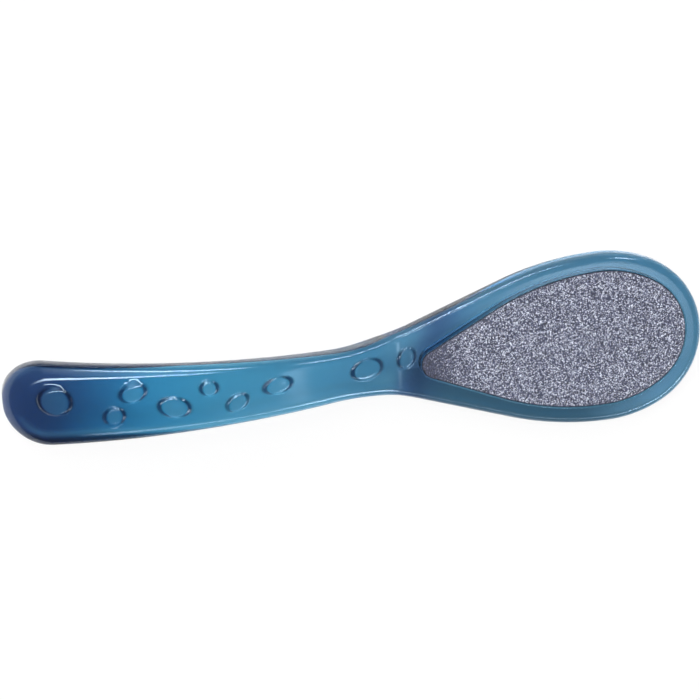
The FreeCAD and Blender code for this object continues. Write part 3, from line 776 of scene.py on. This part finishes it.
def white_table():
    """A matt white table that keeps its shadows, with a share of plain white added where the camera
    looks at it and where the plastic mirrors it or lets it through."""
    material, nodes, links, shader = new_material("white_table")
    shader.inputs["Base Color"].default_value = (0.9, 0.9, 0.9, 1.0)
    shader.inputs["Roughness"].default_value = 0.9
    shader.inputs["Specular IOR Level"].default_value = 0.0
    glow = nodes.new("ShaderNodeEmission")
    glow.inputs["Color"].default_value = (1.0, 1.0, 1.0, 1.0)
    glow.inputs["Strength"].default_value = 1.0
    path = nodes.new("ShaderNodeLightPath")
    direct = maths(nodes, "MULTIPLY", second=SEEN_WHITE)
    by_plastic = maths(nodes, "MAXIMUM")
    in_plastic = maths(nodes, "MULTIPLY", second=WHITE_IN_PLASTIC)
    share = maths(nodes, "MAXIMUM")
    blend = nodes.new("ShaderNodeMixShader")
    links.new(path.outputs["Is Camera Ray"], direct.inputs[0])
    links.new(path.outputs["Is Glossy Ray"], by_plastic.inputs[0])
    links.new(path.outputs["Is Transmission Ray"], by_plastic.inputs[1])
    links.new(by_plastic.outputs[0], in_plastic.inputs[0])
    links.new(direct.outputs[0], share.inputs[0])
    links.new(in_plastic.outputs[0], share.inputs[1])
    links.new(share.outputs[0], blend.inputs["Fac"])
    links.new(shader.outputs["BSDF"], blend.inputs[1])
    links.new(glow.outputs["Emission"], blend.inputs[2])
    links.new(blend.outputs["Shader"], nodes["Material Output"].inputs["Surface"])
    return material


table_mesh = bpy.data.meshes.new("table")
table_corners = [(x * TABLE_REACH, y * TABLE_REACH, 0.0) for x, y in ((-1, -1), (1, -1), (1, 1), (-1, 1))]
table_mesh.from_pydata(table_corners, [], [(0, 1, 2, 3)])
table_mesh.materials.append(white_table())
table = bpy.data.objects.new("table", table_mesh)
bpy.context.scene.collection.objects.link(table)

room = bpy.data.worlds.new("studio")
room.use_nodes = True
room_glow = room.node_tree.nodes["Background"]
room_glow.inputs["Color"].default_value = (1.0, 1.0, 1.0, 1.0)
room_glow.inputs["Strength"].default_value = ROOM_LIGHT
bpy.context.scene.world = room


LAMP_MIDDLE = 0.5


def softbox(name, place, long_side, size, border, power):
    """A rectangular studio lamp at a place, its long side along a direction, facing the file. Its
    glow fades to nothing over a border, given as a share of each side, so that its mirror image in
    the plastic has no hard edge."""
    lamp = bpy.data.lights.new(name, "AREA")
    lamp.shape = "RECTANGLE"
    lamp.size, lamp.size_y = size
    lamp.energy = power
    lamp.use_nodes = True
    nodes, links = lamp.node_tree.nodes, lamp.node_tree.links
    spot = nodes.new("ShaderNodeNewGeometry")
    axes = nodes.new("ShaderNodeSeparateXYZ")
    glow = maths(nodes, "MULTIPLY")
    links.new(spot.outputs["Parametric"], axes.inputs["Vector"])
    for slot, axis in enumerate("XY"):
        middle = maths(nodes, "SUBTRACT", second=LAMP_MIDDLE)
        reach = maths(nodes, "ABSOLUTE")
        fade = mapped(nodes, start=LAMP_MIDDLE, end=LAMP_MIDDLE - border[slot])
        fade.interpolation_type = "SMOOTHSTEP"
        links.new(axes.outputs[axis], middle.inputs[0])
        links.new(middle.outputs[0], reach.inputs[0])
        links.new(reach.outputs[0], fade.inputs["Value"])
        links.new(fade.outputs["Result"], glow.inputs[slot])
    links.new(glow.outputs[0], nodes["Emission"].inputs["Strength"])
    holder = bpy.data.objects.new(name, lamp)
    bpy.context.scene.collection.objects.link(holder)
    away = np.asarray(place, float)
    away /= np.linalg.norm(away)
    side = np.asarray(long_side, float) - np.dot(long_side, away) * away
    side /= np.linalg.norm(side)
    facing = Matrix(np.stack([side, np.cross(away, side), away], axis=1).tolist())
    holder.matrix_world = Matrix.Translation(place) @ facing.to_4x4()
    return holder


# The boxes that give the light, and the strips and small boxes that only show as glints. Each has its
# place, long side, size in metres, soft border, watts, and where it is seen: on matt surfaces, as a
# mirror image or through the plastic.
LENGTHWISE = (1.0, 0.0, 0.0)
LAMPS = (
    ("low_box", (0.0, 0.85, 0.6), LENGTHWISE, (1.6, 0.5), (0.2, 0.2), 14.0, ("matt",)),
    ("upper_box", (0.0, 0.42, 0.85), LENGTHWISE, (2.6, 1.3), (0.2, 0.25), 17.0, ("matt", "through")),
    ("handle_box", (-0.45, 0.75, 0.75), LENGTHWISE, (1.2, 0.9), (0.35, 0.3), 6.0, ("mirror",)),
    ("back_strip", (-0.25, 1.3, 0.85), LENGTHWISE, (1.3, 0.3), (0.25, 0.4), 32.0, ("mirror",)),
    ("front_strip", (-0.1, -1.2, 0.82), LENGTHWISE, (1.6, 0.3), (0.2, 0.4), 8.0, ("mirror",)),
    ("head_box", (0.36, -0.24, 0.9), LENGTHWISE, (0.22, 0.14), (0.5, 0.4), 0.46, ("mirror",)),
    ("rim_box", (0.40, -0.04, 0.9), LENGTHWISE, (0.26, 0.36), (0.5, 0.5), 0.75, ("mirror",)),
    ("turn_box", (0.95, -1.15, 0.97), LENGTHWISE, (1.3, 0.65), (0.4, 0.45), 42.0, ("mirror",)),
    ("neck_strip", (0.84, 1.1, 0.9), (0.74, 0.67, 0.0), (0.8, 0.26), (0.35, 0.4), 14.0, ("mirror",)),
    ("corner_box", (0.40, -0.33, 0.9), LENGTHWISE, (0.14, 0.14), (0.5, 0.5), 0.1, ("mirror",)),
    ("edge_strip", (-0.487, 0.358, 0.9), (0.89, 0.46, 0.0), (1.78, 0.12), (0.3, 0.4), 17.0,
     ("matt", "mirror")),
)
for lamp_name, lamp_place, lamp_side, lamp_size, lamp_border, watts, seen in LAMPS:
    box = softbox(lamp_name, lamp_place, lamp_side, lamp_size, lamp_border, watts)
    box.visible_diffuse = "matt" in seen
    box.visible_glossy = "mirror" in seen
    box.visible_transmission = "through" in seen

VIEW_LEAN = (-0.08708, 0.28037)
VIEW_ROLL = 0.11296
VIEW_TARGET = np.array([-0.00142, 0.00574, 0.008])
VIEW_DISTANCE = 0.9
back = np.array([*VIEW_LEAN, math.sqrt(1.0 - VIEW_LEAN[0] ** 2 - VIEW_LEAN[1] ** 2)])
level_right = np.array([1.0, 0.0, 0.0]) - back[0] * back
level_right /= np.linalg.norm(level_right)
level_up = np.cross(back, level_right)
right = level_right * math.cos(VIEW_ROLL) - level_up * math.sin(VIEW_ROLL)
upward = level_right * math.sin(VIEW_ROLL) + level_up * math.cos(VIEW_ROLL)
lens = bpy.data.cameras.new("camera")
lens.lens = 142.34
lens.sensor_width = 36.0
lens.clip_end = 100.0
camera = bpy.data.objects.new("camera", lens)
bpy.context.scene.collection.objects.link(camera)
camera.matrix_world = (Matrix.Translation((VIEW_TARGET + VIEW_DISTANCE * back).tolist())
                       @ Matrix(np.stack([right, upward, back], axis=1).tolist()).to_4x4())
bpy.context.scene.camera = camera
bpy.context.scene.view_settings.view_transform = "Standard"
